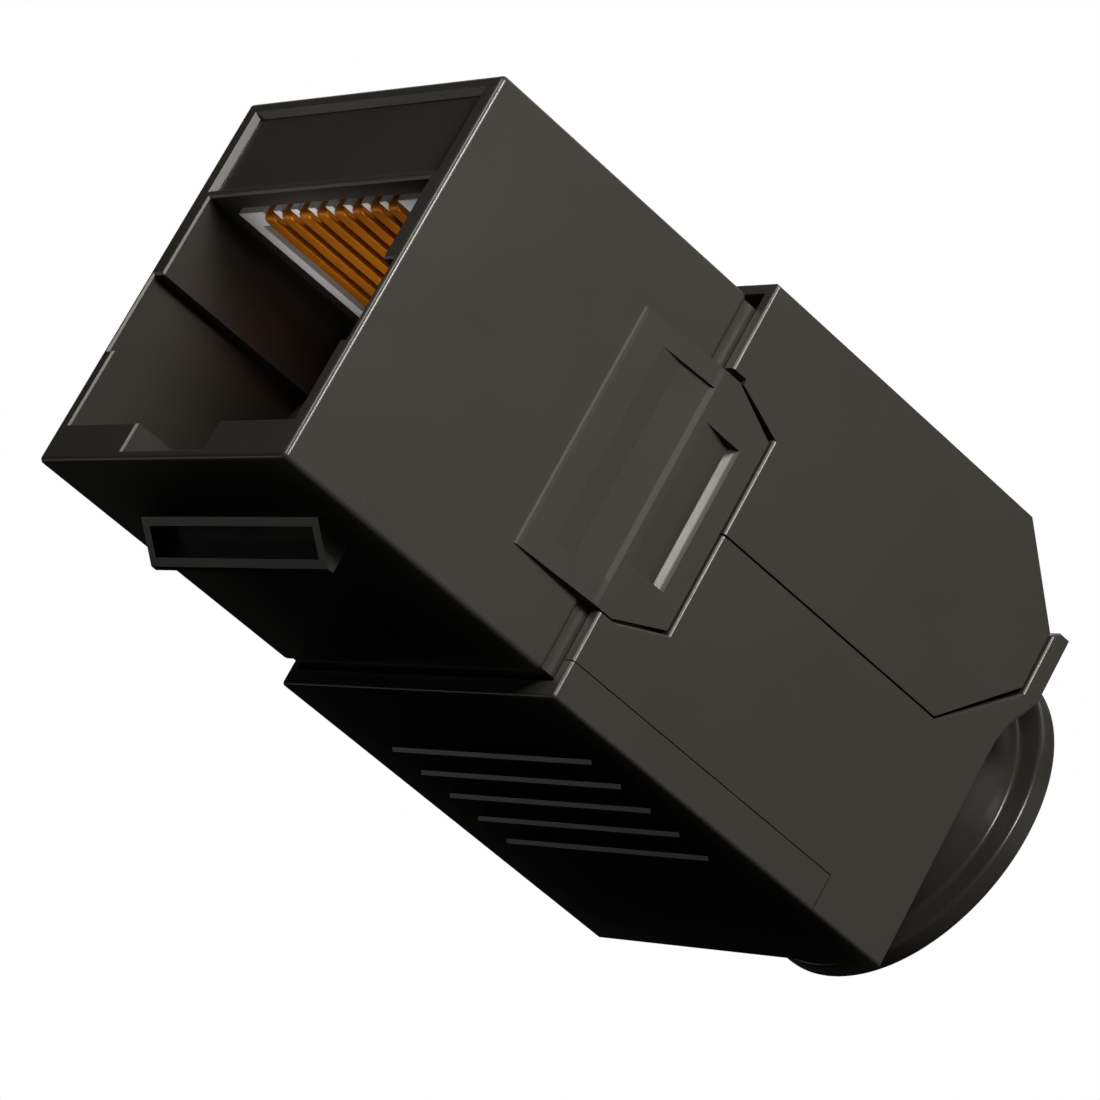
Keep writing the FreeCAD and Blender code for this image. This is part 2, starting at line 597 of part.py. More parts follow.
def make_latch(body):
    """Sprung arm above a channel in the housing's top, with a catch and a ridged tail."""
    top = HALF_HEIGHT
    floor = f"({top} - latch_channel)"
    reach = "(latch_half + latch_side_gap)"
    channel = box(f"-{reach}", reach, floor, f"({top} + {PAST})")
    cut(body, "latch_channel", "y", [channel], "latch_root", "front_length")
    buried = f"(latch_root - {BITE})"
    root_low = f"({top} - latch_sink - latch_thickness)"
    tail_high = f"({top} + latch_lift)"
    arm = [
        (buried, root_low),
        ("latch_root", root_low),
        ("latch_catch", f"({tail_high} - latch_thickness)"),
        ("latch_end", f"({tail_high} - latch_thickness)"),
        ("latch_end", f"({tail_high} + latch_grip)"),
        ("(latch_end - latch_grip_crest)", f"({tail_high} + latch_grip)"),
        ("(latch_end - latch_grip_length)", tail_high),
        ("latch_catch", tail_high),
        ("latch_catch", f"({top} + latch_height)"),
        ("(latch_catch - latch_crest)", f"({top} + latch_height)"),
        ("latch_root", f"({root_low} + latch_thickness)"),
        (buried, f"({root_low} + latch_thickness)"),
    ]
    add(body, "latch", "x", [arm], "-latch_half", "latch_half")


def make_contact_carrier():
    """Light tray under the port's roof with a comb in front, and the wall behind the port."""
    body = piece("contact_carrier")
    tray = box("-carrier_half", "carrier_half", "carrier_front", WALL_BACK)
    add(body, "tray", "z", [tray], TRAY_BOTTOM, TRAY_TOP)
    half = f"({GUIDE_HALF} - carrier_gap)"
    wall = box(f"-{half}", half, "-(port_floor - carrier_gap)", "(port_roof - carrier_gap)")
    add(body, "port_wall", "y", [wall], PORT_BACK, WALL_BACK)
    comb_end = "(carrier_front + comb_length)"
    open_end = f"({PORT_BACK} - carrier_block)"
    rail = "(carrier_half - carrier_rail)"
    gap = box(f"-{rail}", rail, comb_end, open_end)
    below = f"({TRAY_BOTTOM} - {PAST})"
    above = f"({TRAY_TOP} + {PAST})"
    cut(body, "tray_opening", "z", [gap], below, above)
    slots = []
    for index in range(CONTACTS):
        reach = "(contact_width / 2 + slot_gap)"
        middle = contact_x(index)
        slots.append((f"({middle} - {reach})", f"({middle} + {reach})"))
    slot_roof = f"({UPPER_RUN} + contact_thickness + slot_gap)"
    front_slots = [box(low, high, below, slot_roof) for low, high in slots]
    cut(body, "comb_slots", "y", front_slots, f"(carrier_front - {PAST})", comb_end)
    slot_floor = f"({UPPER_RUN} - slot_gap)"
    rear_slots = [box(low, high, slot_floor, above) for low, high in slots]
    cut(body, "rear_slots", "y", rear_slots, f"({open_end} - {BITE})", f"({WALL_BACK} + {PAST})")
    return body


def make_contact(index):
    """Bent wire: leg up from the board, forward over the tray, round the comb and back down."""
    body = piece(f"contact_{index + 1}")
    thick = "contact_thickness"
    low_out = TRAY_BOTTOM
    low_in = f"({low_out} + {thick})"
    up_in = UPPER_RUN
    up_out = f"({up_in} + {thick})"
    front_in = f"(contact_front + {thick})"
    leg = leg_row(index)
    slope = "atan(contact_drop / contact_reach)"
    tip = f"({low_out} - contact_drop)"
    leg_foot = (leg, PIN_BOTTOM)
    leg_top = (leg, up_in)
    front_top = (front_in, up_in)
    front_low = (front_in, low_in)
    knee_top = (f"({CONTACT_KNEE} + {thick} * tan({slope} / 2))", low_in)
    tip_top = (f"({CONTACT_TIP} + {thick} * sin({slope}))", f"({tip} + {thick} * cos({slope}))")
    tip_low = (CONTACT_TIP, tip)
    knee_low = (CONTACT_KNEE, low_out)
    nose_low = ("contact_front", low_out)
    nose_top = ("contact_front", up_out)
    heel_top = (f"({leg} + {thick})", up_out)
    heel_foot = (f"({leg} + {thick})", PIN_BOTTOM)
    underside = [leg_foot, leg_top, front_top, front_low, knee_top, tip_top]
    outside = [tip_low, knee_low, nose_low, nose_top, heel_top, heel_foot]
    half = "contact_width / 2"
    add(body, "wire", "x", [underside + outside], f"-{half}", half)

    def at_one_of(corners):
        spots = [(value(along), value(up)) for along, up in corners]

        def chosen(edge):
            middle = edge.CenterOfMass
            near = any(abs(middle.y - y) + abs(middle.z - z) < SAME_PLACE for y, z in spots)
            return near and edge.BoundBox.XLength > edge.BoundBox.DiagonalLength / 2

        return chosen

    inner = at_one_of([leg_top, front_top, front_low, knee_low])
    outer = at_one_of([knee_top, nose_low, nose_top, heel_top])
    soften(body, "inner_bends", "Fillet", "contact_bend", inner)
    soften(body, "outer_bends", "Fillet", f"(contact_bend + {thick})", outer)
    body.setExpression("Placement.Base.x", tie(contact_x(index)))
    return body


def make_circuit_board():
    """Board that joins the contacts' legs to the terminals' tails, drilled for both."""
    body = piece("circuit_board")
    plan = box(f"-{BOARD_HALF}", BOARD_HALF, BOARD_FRONT, TERMINAL_STOP)
    add(body, "board", "z", [plan], BOARD_BOTTOM, "board_top")
    pins = []
    for index in range(CONTACTS):
        centre = f"({leg_row(index)} + contact_thickness / 2)"
        pins.append(Circle(contact_x(index), centre, "pin_hole"))
    tails = []
    for index in range(TERMINALS_PER_SIDE):
        for across in ("terminal_x", "-terminal_x"):
            tails.append(Circle(across, terminal_y(index), "tail_hole"))
    cut(body, "holes", "z", pins + tails, f"({BOARD_BOTTOM} - {PAST})", f"(board_top + {PAST})")
    return body


def make_idc_terminal(number, side, index):
    """Forked blade with a slit that cuts the wire's insulation, and a solder tail."""
    body = piece(f"idc_terminal_{number}")
    half = "terminal_width / 2"
    slit = "terminal_slit / 2"
    mouth = f"({slit} + terminal_lead)"
    right = [
        ("terminal_tail / 2", PIN_BOTTOM),
        ("terminal_tail / 2", "board_top"),
        (half, "board_top"),
        (half, "(terminal_top - terminal_mouth)"),
        (f"({half} - terminal_corner)", "terminal_top"),
        (mouth, "terminal_top"),
        (slit, "(terminal_top - terminal_mouth)"),
        (slit, "slit_bottom"),
    ]
    left = [(f"-({along})", up) for along, up in reversed(right)]
    add(body, "blade", "x", [right + left], "-terminal_thickness / 2", "terminal_thickness / 2")
    body.setExpression("Placement.Base.x", tie(f"{side} * terminal_x"))
    body.setExpression("Placement.Base.y", tie(terminal_y(index)))
    return body


def make_terminal_block():
    """Moulded block on the board: two rows of towers, wire slots and a middle channel."""
    body = piece("terminal_block")
    half = f"({INNER_HALF} - block_gap)"
    plan = box(f"-{half}", half, f"({INNER_FRONT} - block_front_gap)", TERMINAL_STOP)
    add(body, "block", "z", [plan], "board_top", "block_top")
    above = f"(block_top + {PAST})"
    behind = f"({TERMINAL_STOP} + {PAST})"
    channel = box("-channel_half", "channel_half", "channel_floor", above)
    cut(body, "pair_channel", "y", [channel], f"({INNER_FRONT} - {PAST})", behind)
    slots = []
    pockets = []
    for index in range(TERMINALS_PER_SIDE):
        middle = terminal_y(index)
        lead = "(block_top - wire_slot_lead)"
        slots.append(
            [
                (f"({middle} - wire_slot / 2)", "wire_seat"),
                (f"({middle} + wire_slot / 2)", "wire_seat"),
                (f"({middle} + wire_slot / 2)", lead),
                (f"({middle} + wire_slot_mouth / 2)", "block_top"),
                (f"({middle} + wire_slot_mouth / 2)", above),
                (f"({middle} - wire_slot_mouth / 2)", above),
                (f"({middle} - wire_slot_mouth / 2)", "block_top"),
                (f"({middle} - wire_slot / 2)", lead),
            ]
        )
        reach = "(terminal_width / 2 + blade_gap)"
        across = "(terminal_thickness / 2 + blade_gap)"
        pocket = box(
            f"(terminal_x - {across})",
            f"(terminal_x + {across})",
            f"({middle} - {reach})",
            f"({middle} + {reach})",
        )
        pockets += with_mirror([pocket])
    cut(body, "wire_slots", "x", slots, f"-({half} + {PAST})", f"({half} + {PAST})")
    cut(body, "terminal_pockets", "z", pockets, f"(board_top - {PAST})", above)
    return body


def make_wire_presser():
    """Insert under the lid's roof whose split blades push the wires down into the forks."""
    body = piece("wire_presser")
    half = f"({INNER_HALF} - block_gap)"
    front = f"({INNER_FRONT} + leg_gap)"
    plate_bottom = f"({PLATE_TOP} - presser_plate)"
    end = f"({TERMINAL_STOP} - presser_end)"
    add(body, "plate", "z", [box(f"-{half}", half, front, end)], plate_bottom, PLATE_TOP)
    inner = "(channel_half + presser_gap)"
    bars = with_mirror([box(inner, half, front, end)])
    add(body, "bars", "z", bars, "presser_bottom", plate_bottom)
    fork_gap = "(terminal_thickness / 2 + presser_gap)"
    blades = []
    for index in range(TERMINALS_PER_SIDE):
        low = f"({terminal_y(index)} - wire_slot / 2 + presser_gap)"
        high = f"({terminal_y(index)} + wire_slot / 2 - presser_gap)"
        blades += with_mirror(
            [
                box(inner, f"(terminal_x - {fork_gap})", low, high),
                box(f"(terminal_x + {fork_gap})", half, low, high),
            ]
        )
    add(body, "blades", "z", blades, "presser_reach", "presser_bottom")
    return body


def leg_plans(gap):
    """Plans of the lid's four guide legs, grown by a gap, for the legs and their grooves."""
    plans = []
    for index in range(2):
        start = f"({INNER_FRONT} + leg_first + {index} * leg_spacing)"
        inner = f"({INNER_HALF} + leg_gap - {gap})"
        outer = f"({LEG_OUTER} + {gap})"
        end = f"({start} + leg_width + {gap})"
        plans += with_mirror([box(inner, outer, f"({start} - {gap})", end)])
    return plans


def make_rear_body():
    """Lower half of the rear block, with the tongues' cut-outs and the lip behind the lid."""
    body = piece("rear_body")
    cut_half = "(ramp_half + body_cut_gap)"
    cut_end = f"({TONGUE_END} + body_cut_gap)"
    slope_top = "(seam_height + seam_rise)"
    side = [
        (BLOCK_FRONT, COVER_TOP),
        (BLOCK_FRONT, f"-{cut_half}"),
        (TONGUE_SHOULDER, f"-{cut_half}"),
        (cut_end, "-(tongue_tip_half + body_cut_gap)"),
        (cut_end, "seam_height"),
        (SEAM_BEND, "seam_height"),
        (LIP_FRONT, slope_top),
        (LIP_FRONT, "(lip_top - lip_nose)"),
        (f"({LIP_FRONT} + lip_nose)", "lip_top"),
        (LIP_REAR, "lip_top"),
        (LIP_REAR, "lip_flare"),
        (BLOCK_REAR, "lip_foot"),
        (BLOCK_REAR, BLOCK_BOTTOM),
        (COVER_END, BLOCK_BOTTOM),
        (COVER_END, COVER_TOP),
    ]
    add(body, "outline", "x", [side], f"-{BLOCK_HALF}", BLOCK_HALF)
    foot = value("lip_foot")
    rear = value(BLOCK_REAR)
    soften(
        body,
        "lip_flare",
        "Fillet",
        "lip_flare_round",
        lambda e: lies_at(e, "Z", foot) and lies_at(e, "Y", rear),
    )
    half = value(BLOCK_HALF)
    seam = value("seam_height")
    cover = value(COVER_TOP)
    cut_low = -value(cut_half)

    def shown_side_edge(edge):
        hidden = lies_at(edge, "Z", seam) or lies_at(edge, "Z", cover) or lies_at(edge, "Z", cut_low)
        cover_joint = lies_at(edge, "Y", value(COVER_END))
        return on_side(edge, half) and not hidden and not cover_joint

    soften(body, "side_rounding", "Fillet", "block_round", shown_side_edge)
    above = f"(lip_top + {PAST})"
    inner = box(f"-{INNER_HALF}", INNER_HALF, INNER_FRONT, INNER_REAR)
    cut(body, "hollow", "z", [inner], f"({BLOCK_BOTTOM} + body_floor)", above)
    front = box(f"-{SOCKET_HALF}", SOCKET_HALF, f"({BLOCK_FRONT} - {PAST})", INNER_FRONT)
    cut(body, "socket", "z", [front], BLOCK_BOTTOM, above)
    ledge_x = f"({INNER_HALF} - board_ledge)"
    ledge = box(ledge_x, f"({INNER_HALF} + {BITE})", INNER_FRONT, TERMINAL_STOP)
    ledge_low = f"({BOARD_BOTTOM} - ledge_height)"
    add(body, "board_ledges", "z", with_mirror([ledge]), ledge_low, BOARD_BOTTOM)
    grooves = leg_plans("leg_gap")
    groove_floor = "(seam_height - leg_length - leg_gap)"
    cut(body, "leg_grooves", "z", grooves, groove_floor, f"(seam_height + {PAST})")
    cut_collar_seat(body)
    arch = Circle("0", "0", "(collar_drum + lip_collar_gap)")
    behind = f"({LIP_REAR} + {PAST})"
    cut(body, "collar_arch", "y", [arch], BLOCK_REAR, behind)
    middle = box("-lip_middle_half", "lip_middle_half", "0", above)
    cut(body, "lip_gap", "y", [middle], BLOCK_REAR, behind)
    return body


def cut_collar_seat(body):
    """The piece's share of the round seat in the rear wall that holds the collar's neck."""
    seat = Circle("0", "0", "(collar_neck + collar_gap)")
    cut(body, "collar_seat", "y", [seat], f"({INNER_REAR} - {PAST})", f"({BLOCK_REAR} + {PAST})")


def make_rear_lid():
    """Upper half of the rear block: a cap with four guide legs that is pressed straight down."""
    body = piece("rear_lid")
    cut_half = "(ramp_half + lid_cut_gap)"
    cut_end = f"({TONGUE_END} + body_cut_gap)"
    step = f"({TONGUE_SHOULDER} + lid_step_back)"
    back = f"({LIP_FRONT} - lid_back_gap)"
    seam = "(seam_height + seam_gap)"
    side = [
        (BLOCK_FRONT, LID_TOP),
        (BLOCK_FRONT, cut_half),
        (step, cut_half),
        (step, f"({cut_half} - lid_step_in)"),
        (cut_end, "(tongue_tip_half + lid_cut_gap)"),
        (cut_end, seam),
        (f"({SEAM_BEND} - seam_bend_gap)", seam),
        (back, f"({seam} + seam_rise + ramp_seam_gap - seam_gap)"),
        (back, f"({LID_TOP} - lid_bevel_height)"),
        (f"({back} - lid_bevel_length)", LID_TOP),
    ]
    add(body, "outline", "x", [side], f"-{BLOCK_HALF}", BLOCK_HALF)
    half = value(BLOCK_HALF)
    top = value(LID_TOP)
    front = value(BLOCK_FRONT)
    rear = value(back)
    notch = value(cut_end)

    def shown_edge(edge):
        middle = edge.CenterOfMass
        at_end = any(abs(middle.y - place) < SAME_PLACE for place in (front, notch, rear))
        bevel = middle.y > value(SEAM_BEND) and middle.z > value(f"({LID_TOP} - lid_bevel_height)")
        return on_side(edge, half) and (at_end or abs(middle.z - top) < SAME_PLACE or bevel)

    soften(body, "side_rounding", "Fillet", "block_round", shown_edge)
    neck_roof = f"({LID_TOP} - socket_roof)"
    below = f"(seam_height - {PAST})"
    socket = box(f"-{SOCKET_HALF}", SOCKET_HALF, below, neck_roof)
    cut(body, "socket", "y", [socket], f"({BLOCK_FRONT} - {PAST})", INNER_FRONT)
    bevel = "(lid_bevel_height / lid_bevel_length)"
    bevel_start = f"({LID_TOP} - lid_bevel_height - lid_bevel_wall)"
    bevel_low = f"({bevel_start} + ({back} - {INNER_REAR}) * {bevel})"
    bevel_run = f"(({PLATE_TOP} - {bevel_low}) / {bevel})"
    hollow_front = f"({INNER_FRONT} - {BITE})"
    hollow = [
        (hollow_front, below),
        (INNER_REAR, below),
        (INNER_REAR, bevel_low),
        (f"({INNER_REAR} - {bevel_run})", PLATE_TOP),
        (hollow_front, PLATE_TOP),
    ]
    cut(body, "hollow", "x", [hollow], f"-{INNER_HALF}", INNER_HALF)
    cut_collar_seat(body)
    legs = leg_plans("0")
    add(body, "guide_legs", "z", legs, "(seam_height - leg_length)", f"({seam} + {BITE})")
    return body


def make_bottom_cover():
    """Cover let into the underside, with grip ribs outside and locating rims inside."""
    body = piece("bottom_cover")
    top = f"({COVER_TOP} - cover_gap)"
    end = f"({COVER_END} - cover_gap)"
    side = box(BLOCK_FRONT, end, BLOCK_BOTTOM, top)
    add(body, "slab", "x", [side], f"-{BLOCK_HALF}", BLOCK_HALF)
    half = value(BLOCK_HALF)
    bottom = value(BLOCK_BOTTOM)
    front = value(BLOCK_FRONT)

    def shown_edge(edge):
        low_edge = lies_at(edge, "Z", bottom) and (on_side(edge, half) or lies_at(edge, "Y", front))
        return low_edge or (on_side(edge, half) and lies_at(edge, "Y", front))

    soften(body, "rounding", "Fillet", "block_round", shown_edge)
    above = f"({top} + {PAST})"
    neck_floor = f"(-{NECK_TOP} - socket_gap)"
    socket = box(f"-{SOCKET_HALF}", SOCKET_HALF, f"({BLOCK_FRONT} - {PAST})", INNER_FRONT)
    cut(body, "socket", "z", [socket], neck_floor, above)
    plate_top = f"({BLOCK_BOTTOM} + cover_plate)"
    front_inside = f"({INNER_FRONT} - {BITE})"
    inside = box(f"-{INNER_HALF}", INNER_HALF, front_inside, f"({end} + {PAST})")
    cut(body, "inside", "z", [inside], plate_top, above)
    outer = f"({INNER_HALF} - cover_rim_gap)"
    rim_front = f"({INNER_FRONT} + cover_rim_gap)"
    rim = box(f"({outer} - cover_rim)", outer, rim_front, f"({end} - cover_rim_end)")
    add(body, "rims", "z", with_mirror([rim]), plate_top, f"({plate_top} + cover_rim_height)")
    ribs = []
    for index in range(GRIP_RIBS):
        middle = f"({BLOCK_FRONT} + rib_first + {index} * rib_pitch)"
        ribs.append(
            [
                (f"({middle} - rib_base / 2)", f"({BLOCK_BOTTOM} + {BITE})"),
                (f"({middle} - rib_base / 2)", BLOCK_BOTTOM),
                (f"({middle} - rib_crest / 2)", f"({BLOCK_BOTTOM} - rib_height)"),
                (f"({middle} + rib_crest / 2)", f"({BLOCK_BOTTOM} - rib_height)"),
                (f"({middle} + rib_base / 2)", BLOCK_BOTTOM),
                (f"({middle} + rib_base / 2)", f"({BLOCK_BOTTOM} + {BITE})"),
            ]
        )
    add(body, "grip_ribs", "x", ribs, "-rib_half", "rib_half")
    return body


def make_cable_collar():
    """Turned ring: inner flange and neck held in the rear wall, drum and rim outside it."""
    body = piece("cable_collar")
    wall_side = f"({INNER_REAR} - collar_gap)"
    inner_end = f"({wall_side} - collar_flange_width)"
    profile = [
        (inner_end, "collar_bore"),
        (inner_end, "collar_flange"),
        (wall_side, "collar_flange"),
        (wall_side, "collar_neck"),
        (DRUM_FRONT, "collar_neck"),
        (DRUM_FRONT, "collar_drum"),
        (DRUM_REAR, "collar_drum"),
        (DRUM_REAR, "collar_rim"),
        (RIM_REAR, "collar_rim"),
        (RIM_REAR, "(collar_bore + collar_mouth)"),
        (f"({RIM_REAR} - collar_mouth)", "collar_bore"),
    ]
    drawing = sketch(body, "ring", "x", [profile], "0")
    turned = body.newObject("PartDesign::Revolution", "ring")
    turned.Profile = drawing
    turned.ReferenceAxis = (drawing, ["H_Axis"])
    turned.Angle = 360
    body.Tip = turned
    doc.recompute()
    rim = value("collar_rim")
    drum = value("collar_drum")
    drum_rear = value(DRUM_REAR)

    def ring_edge(radius):
        return lambda e: isinstance(e.Curve, Part.Circle) and abs(e.Curve.Radius - radius) < SAME_PLACE

    def root_edge(edge):
        return ring_edge(drum)(edge) and lies_at(edge, "Y", drum_rear)

    soften(body, "root_rounding", "Fillet", "collar_root_round", root_edge)
    soften(body, "rim_rounding", "Fillet", "collar_rim_round", ring_edge(rim))
    return body


make_front_housing()
make_contact_carrier()
for place in range(CONTACTS):
    make_contact(place)
make_circuit_board()
for place in range(TERMINALS_PER_SIDE):
    make_idc_terminal(place + 1, -1, place)
for place in range(TERMINALS_PER_SIDE):
    make_idc_terminal(TERMINALS_PER_SIDE + place + 1, 1, place)
make_terminal_block()
make_wire_presser()
make_rear_body()
make_rear_lid()
make_bottom_cover()
make_cable_collar()
doc.recompute()

for thing in doc.Objects:
    if "Invalid" in thing.State or "Error" in thing.State:
        raise RuntimeError(f"{thing.Label} failed: {thing.State}")
for body in nodes:
    if body.Shape.isNull() or not body.Shape.isValid() or not body.Shape.Solids:
        raise RuntimeError(f"{body.Label} has no valid solid")

os.makedirs("parts", exist_ok=True)
for body in nodes:
    body.Shape.exportStep(f"parts/{body.Label}.step")
    print(body.Label, len(body.Shape.Solids), round(body.Shape.Volume, 2))
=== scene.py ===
import math

import bpy
from mathutils import Matrix, Vector


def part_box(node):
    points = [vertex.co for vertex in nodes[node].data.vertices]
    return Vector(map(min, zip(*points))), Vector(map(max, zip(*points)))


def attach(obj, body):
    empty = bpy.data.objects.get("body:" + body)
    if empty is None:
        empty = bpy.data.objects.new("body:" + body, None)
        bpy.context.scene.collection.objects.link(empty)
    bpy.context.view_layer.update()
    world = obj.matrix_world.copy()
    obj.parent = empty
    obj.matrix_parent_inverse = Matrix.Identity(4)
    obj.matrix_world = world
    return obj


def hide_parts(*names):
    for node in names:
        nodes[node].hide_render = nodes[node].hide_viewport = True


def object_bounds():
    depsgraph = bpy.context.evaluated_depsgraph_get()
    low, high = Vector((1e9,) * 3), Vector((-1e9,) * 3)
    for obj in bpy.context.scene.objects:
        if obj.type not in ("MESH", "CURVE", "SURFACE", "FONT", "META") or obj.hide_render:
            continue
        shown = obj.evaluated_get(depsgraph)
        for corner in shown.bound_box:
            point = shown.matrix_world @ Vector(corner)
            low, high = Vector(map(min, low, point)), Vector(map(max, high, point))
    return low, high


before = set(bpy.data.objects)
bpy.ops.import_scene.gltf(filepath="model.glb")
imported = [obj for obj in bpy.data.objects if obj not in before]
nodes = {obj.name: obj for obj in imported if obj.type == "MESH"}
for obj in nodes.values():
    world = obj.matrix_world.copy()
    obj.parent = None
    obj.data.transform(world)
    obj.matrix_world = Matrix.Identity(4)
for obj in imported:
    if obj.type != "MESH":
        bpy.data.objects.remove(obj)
cad_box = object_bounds()

# Front housing
# One black moulding that the plug goes into, with the ramps, tongues, foot and latch.
# It is moulded in a spark-eroded tool, so its faces have a fine, even satin grain.


class Wire:
    """A socket of a tree of nodes that can be used in sums."""

    def __init__(self, sheet, socket):
        self.sheet = sheet
        self.socket = socket

    def _sum(self, operation, *values):
        return self.sheet.add("ShaderNodeMath", {"operation": operation}, *values)

    def __add__(self, other):
        return self._sum("ADD", self, other)

    __radd__ = __add__

    def __rsub__(self, other):
        return self._sum("SUBTRACT", other, self)

    def __mul__(self, other):
        return self._sum("MULTIPLY", self, other)

    __rmul__ = __mul__


class Sheet:
    """A tree of nodes that is written as expressions."""

    def __init__(self, tree):
        self.nodes = tree.nodes
        self.links = tree.links

    def add(self, kind, settings, *values, out=0, **named):
        """Adds a node with its settings first, then the values or links of its sockets."""
        node = self.nodes.new(kind)
        for key, setting in settings.items():
            setattr(node, key, setting)
        for index, given in enumerate(values):
            self.feed(node.inputs[index], given)
        for key, given in named.items():
            self.feed(node.inputs[key.replace("_", " ")], given)
        return Wire(self, node.outputs[out])

    def feed(self, socket, given):
        """Links a wire to a socket, or sets the socket's own value."""
        if isinstance(given, Wire):
            self.links.new(given.socket, socket)
        else:
            socket.default_value = given


class Finish(Sheet):
    """A material with one Principled shader."""

    def __init__(self, name, **constants):
        self.material = bpy.data.materials.new(name)
        self.material.use_nodes = True
        super().__init__(self.material.node_tree)
        self.shader = self.nodes["Principled BSDF"]
        self.place = self.add("ShaderNodeTexCoord", {}, out="Object")
        for socket, number in constants.items():
            self.set(socket, number)

    def set(self, socket, given):
        """Sets or links one of the shader's own sockets."""
        self.feed(self.shader.inputs[socket.replace("_", " ")], given)

    def stretched(self, along):
        """The place on the piece, with its three axes scaled."""
        return self.add("ShaderNodeMapping", {}, Vector=self.place, Scale=along)

    def grain(self, per_metre, detail=2.0, place=None):
        """Noise from 0 to 1 with that many grains to a metre."""
        spot = place or self.place
        return self.add("ShaderNodeTexNoise", {}, Vector=spot, Scale=per_metre, Detail=detail)

    def between(self, factor, low, high):
        """A colour between two colours."""
        mix = self.nodes.new("ShaderNodeMix")
        mix.data_type = "RGBA"
        self.feed(mix.inputs[0], factor)
        mix.inputs[6].default_value = (*low, 1.0)
        mix.inputs[7].default_value = (*high, 1.0)
        return Wire(self, mix.outputs[2])

    def relief(self, height, depth):
        """Bump of that depth in metres, on the shader's normal."""
        normal = self.add("ShaderNodeBump", {}, Strength=1.0, Distance=depth, Height=height)
        self.set("Normal", normal)

    def band(self, axis, start, end, fade):
        """1 between two places along an axis, and 0 from a fade's length outside them."""
        soft = {"interpolation_type": "SMOOTHSTEP"}
        along = self.add("ShaderNodeSeparateXYZ", {}, self.place, out=axis)
        rise = self.add("ShaderNodeMapRange", soft, along, start - fade, start)
        fall = self.add("ShaderNodeMapRange", soft, along, end, end + fade)
        return rise * (1.0 - fall)


def grained_plastic(name, dark, light, roughness, relief, scuffs=None):
    """Moulded plastic with a spark-eroded grain, faint flow streaks and small shifts of gloss."""
    finish = Finish(name, IOR=1.5)
    fine = finish.grain(per_metre=8000.0, detail=1.0)
    clouds = finish.grain(per_metre=240.0)
    streaks = finish.grain(per_metre=900.0, place=finish.stretched((1.0, 0.12, 1.0)))
    gloss = roughness - 0.06 + 0.05 * clouds + 0.03 * fine + 0.04 * streaks
    if scuffs:
        gloss = scuffs(finish, gloss)
    finish.set("Base Color", finish.between(0.85 * clouds + 0.15 * fine, dark, light))
    finish.set("Roughness", gloss)
    finish.relief(fine, relief)
    return finish.material


def scuffed_sides(finish, gloss):
    """Duller lines at each side ramp's lip and crease, and a soft shine in each finger slot."""
    ramp_half = 0.0044
    lip_start, lip_end = 0.00846, 0.00866
    crease_start, crease_end = 0.01188, 0.01206
    slot_half = 0.0030
    facet_start, facet_end = 0.01372, 0.01398
    shine_start, shine_end = 0.01375, 0.01386
    lip = finish.band("Y", lip_start, lip_end, fade=0.0001)
    crease = finish.band("Y", crease_start, crease_end, fade=0.00004)
    facet = finish.band("Y", facet_start, facet_end, fade=0.00002)
    shine = finish.band("Y", shine_start, shine_end, fade=0.00007)
    fading = finish.band("Z", -slot_half, slot_half, fade=0.00005) * facet * (1.0 - shine)
    dull = finish.band("Z", -ramp_half, ramp_half, fade=0.0001) * (lip + 2.4 * crease)
    return gloss + 0.14 * dull + 0.2 * fading


def dress(names, material):
    """Gives CAD nodes their finish."""
    for name in names:
        mesh = nodes[name].data
        if not mesh.materials:
            mesh.materials.append(material)
        for index in range(len(mesh.materials)):
            mesh.materials[index] = material


housing_black = grained_plastic(
    "housing_black",
    dark=(0.037, 0.0345, 0.0295),
    light=(0.050, 0.0467, 0.040),
    roughness=0.29,
    relief=8e-7,
    scuffs=scuffed_sides,
)
dress(["front_housing"], housing_black)

# Contact carrier
# Pale grey moulded insert that combs the eight contacts apart at the port's roof.
# Its faces are satin and a little cloudy, and it is pushed into the housing from behind.

carrier_grey = grained_plastic(
    "carrier_grey",
    dark=(0.80, 0.80, 0.82),
    light=(0.87, 0.87, 0.89),
    roughness=0.42,
    relief=1.5e-6,
)
dress(["contact_carrier"], carrier_grey)

# Contacts
# Eight flat wires of bronze, plated with gold, bent round the front of the carrier.
# Each ends in a sprung tip in the port. Their legs stand in two rows in the circuit board.

gold = Finish("contact_gold", Metallic=0.72)
drawn = gold.grain(per_metre=24000.0, place=gold.stretched((1.0, 0.05, 0.05)))
plating = gold.grain(per_metre=1500.0)
gold.set("Base Color", gold.between(plating, (0.72, 0.205, 0.009), (0.84, 0.285, 0.015)))
gold.set("Roughness", 0.26 + 0.16 * drawn)
gold.relief(drawn, depth=1.5e-6)

ribbon = bpy.data.node_groups.new("contact_ribbon", "GeometryNodeTree")
ribbon_inputs = {}
for label, kind in (
    ("Line", "NodeSocketGeometry"),
    ("Width", "NodeSocketFloat"),
    ("Thickness", "NodeSocketFloat"),
    ("Bend", "NodeSocketFloat"),
    ("Edge", "NodeSocketFloat"),
    ("First", "NodeSocketFloat"),
    ("Pitch", "NodeSocketFloat"),
    ("Count", "NodeSocketInt"),
):
    ribbon_inputs[label] = ribbon.interface.new_socket(label, in_out="INPUT", socket_type=kind)
ribbon.interface.new_socket("Contacts", in_out="OUTPUT", socket_type="NodeSocketGeometry")
bench = Sheet(ribbon)
entry = bench.nodes.new("NodeGroupInput")
wires = {label: Wire(bench, entry.outputs[label]) for label in ribbon_inputs}
path = bench.add("GeometryNodeMeshToCurve", {}, wires["Line"])
path = bench.add(
    "GeometryNodeFilletCurve", {"mode": "POLY"}, Curve=path, Count=7, Radius=wires["Bend"]
)
